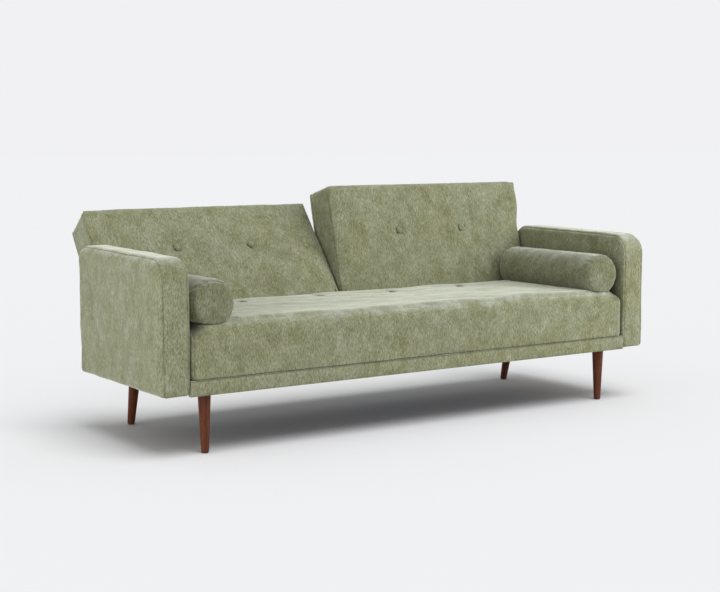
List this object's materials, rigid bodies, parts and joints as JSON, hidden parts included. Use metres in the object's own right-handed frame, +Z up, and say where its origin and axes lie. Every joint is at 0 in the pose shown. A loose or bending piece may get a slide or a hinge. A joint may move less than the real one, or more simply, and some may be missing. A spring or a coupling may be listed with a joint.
{
  "type": "sofa bed",
  "caption": "Upholstered sofa bed with boxed arms, a long seat, split backs that recline flat on ratchet hinges, loose bolsters and tapered wooden legs.",
  "frame": {"origin": "on the floor, under the middle of the whole at rest", "axes": "+X across, towards the right as seen from in front; +Y from front to back; +Z up"},
  "size_m": [2, 0.9172, 0.8104],
  "materials": {
    "cloth": "mottled green chenille with a fine vertical slub",
    "foam": "open-cell upholstery foam",
    "timber": "sawn softwood",
    "leg_wood": "satin walnut stain",
    "hinge_steel": "black lacquered steel",
    "zinc_steel": "zinc-plated steel",
    "spring_steel": "hard-drawn spring wire",
    "webbing": "elastic webbing",
    "lining": "spun-bonded lining",
    "glide_plastic": "moulded plastic"
  },
  "bodies": {
    "base": {"arm_bolts": "zinc_steel", "base_band": "cloth", "base_cross_rails": "timber", "base_front_rail": "timber", "base_left_rail": "timber", "base_rear_rail": "timber", "base_right_rail": "timber", "corner_blocks": "timber", "dust_cover": "lining", "foot_glides": "glide_plastic", "front_left_leg": "leg_wood", "front_right_leg": "leg_wood", "hinge_pins": "hinge_steel", "hinge_seat_screws": "zinc_steel", "left_arm_cover": "cloth", "left_arm_foam": "foam", "left_arm_frame": "timber", "left_inner_hinge_seat_leaf": "hinge_steel", "left_outer_hinge_seat_leaf": "hinge_steel", "leg_plate_screws": "zinc_steel", "leg_plates": "zinc_steel", "rear_left_leg": "leg_wood", "rear_right_leg": "leg_wood", "right_arm_cover": "cloth", "right_arm_foam": "foam", "right_arm_frame": "timber", "right_inner_hinge_seat_leaf": "hinge_steel", "right_outer_hinge_seat_leaf": "hinge_steel", "seat_buttons": "cloth", "seat_cover": "cloth", "seat_foam": "foam", "seat_frame": "timber", "seat_springs": "spring_steel", "spring_clips": "zinc_steel"},
    "left_back": {"left_back_buttons": "cloth", "left_back_cover": "cloth", "left_back_foam": "foam", "left_back_frame": "timber", "left_back_rear_panel": "cloth", "left_back_webbing": "webbing", "left_hinge_back_screws": "zinc_steel", "left_inner_hinge_back_leaf": "hinge_steel", "left_outer_hinge_back_leaf": "hinge_steel"},
    "left_bolster": {"left_bolster_cover": "cloth", "left_bolster_filling": "foam"},
    "left_inner_pawl": {"left_inner_hinge_pawl": "hinge_steel"},
    "left_outer_pawl": {"left_outer_hinge_pawl": "hinge_steel"},
    "right_back": {"right_back_buttons": "cloth", "right_back_cover": "cloth", "right_back_foam": "foam", "right_back_frame": "timber", "right_back_rear_panel": "cloth", "right_back_webbing": "webbing", "right_hinge_back_screws": "zinc_steel", "right_inner_hinge_back_leaf": "hinge_steel", "right_outer_hinge_back_leaf": "hinge_steel"},
    "right_bolster": {"right_bolster_cover": "cloth", "right_bolster_filling": "foam"},
    "right_inner_pawl": {"right_inner_hinge_pawl": "hinge_steel"},
    "right_outer_pawl": {"right_outer_hinge_pawl": "hinge_steel"}
  },
  "joints": [
    {"name": "left_back_recline", "type": "hinge", "parent": "base", "child": "left_back", "pos_m": [0, 0.11438, 0.395], "axis": [-1, 0, 0], "range_deg": [-31.6, 51.6]},
    {"name": "right_back_recline", "type": "hinge", "parent": "base", "child": "right_back", "pos_m": [0, 0.11438, 0.395], "axis": [-1, 0, 0], "range_deg": [-8, 75.2]},
    {"name": "left_bolster_lift", "type": "slide", "parent": "base", "child": "left_bolster", "axis": [0, 0, 1], "range_m": [0, 0.3]},
    {"name": "right_bolster_lift", "type": "slide", "parent": "base", "child": "right_bolster", "axis": [0, 0, 1], "range_m": [0, 0.3]},
    {"name": "left_inner_pawl_lift", "type": "hinge", "parent": "left_back", "child": "left_inner_pawl", "pos_m": [-0.02, 0.15203, 0.42641], "axis": [-1, 0, 0], "range_deg": [0, 10], "stiffness_Nm_per_rad": 0.2},
    {"name": "left_outer_pawl_lift", "type": "hinge", "parent": "left_back", "child": "left_outer_pawl", "pos_m": [-0.88, 0.15203, 0.42641], "axis": [-1, 0, 0], "range_deg": [0, 10], "stiffness_Nm_per_rad": 0.2},
    {"name": "right_inner_pawl_lift", "type": "hinge", "parent": "right_back", "child": "right_inner_pawl", "pos_m": [0.02, 0.13631, 0.43885], "axis": [-1, 0, 0], "range_deg": [0, 10], "stiffness_Nm_per_rad": 0.2},
    {"name": "right_outer_pawl_lift", "type": "hinge", "parent": "right_back", "child": "right_outer_pawl", "pos_m": [0.88, 0.13631, 0.43885], "axis": [-1, 0, 0], "range_deg": [0, 10], "stiffness_Nm_per_rad": 0.2}
  ]
}
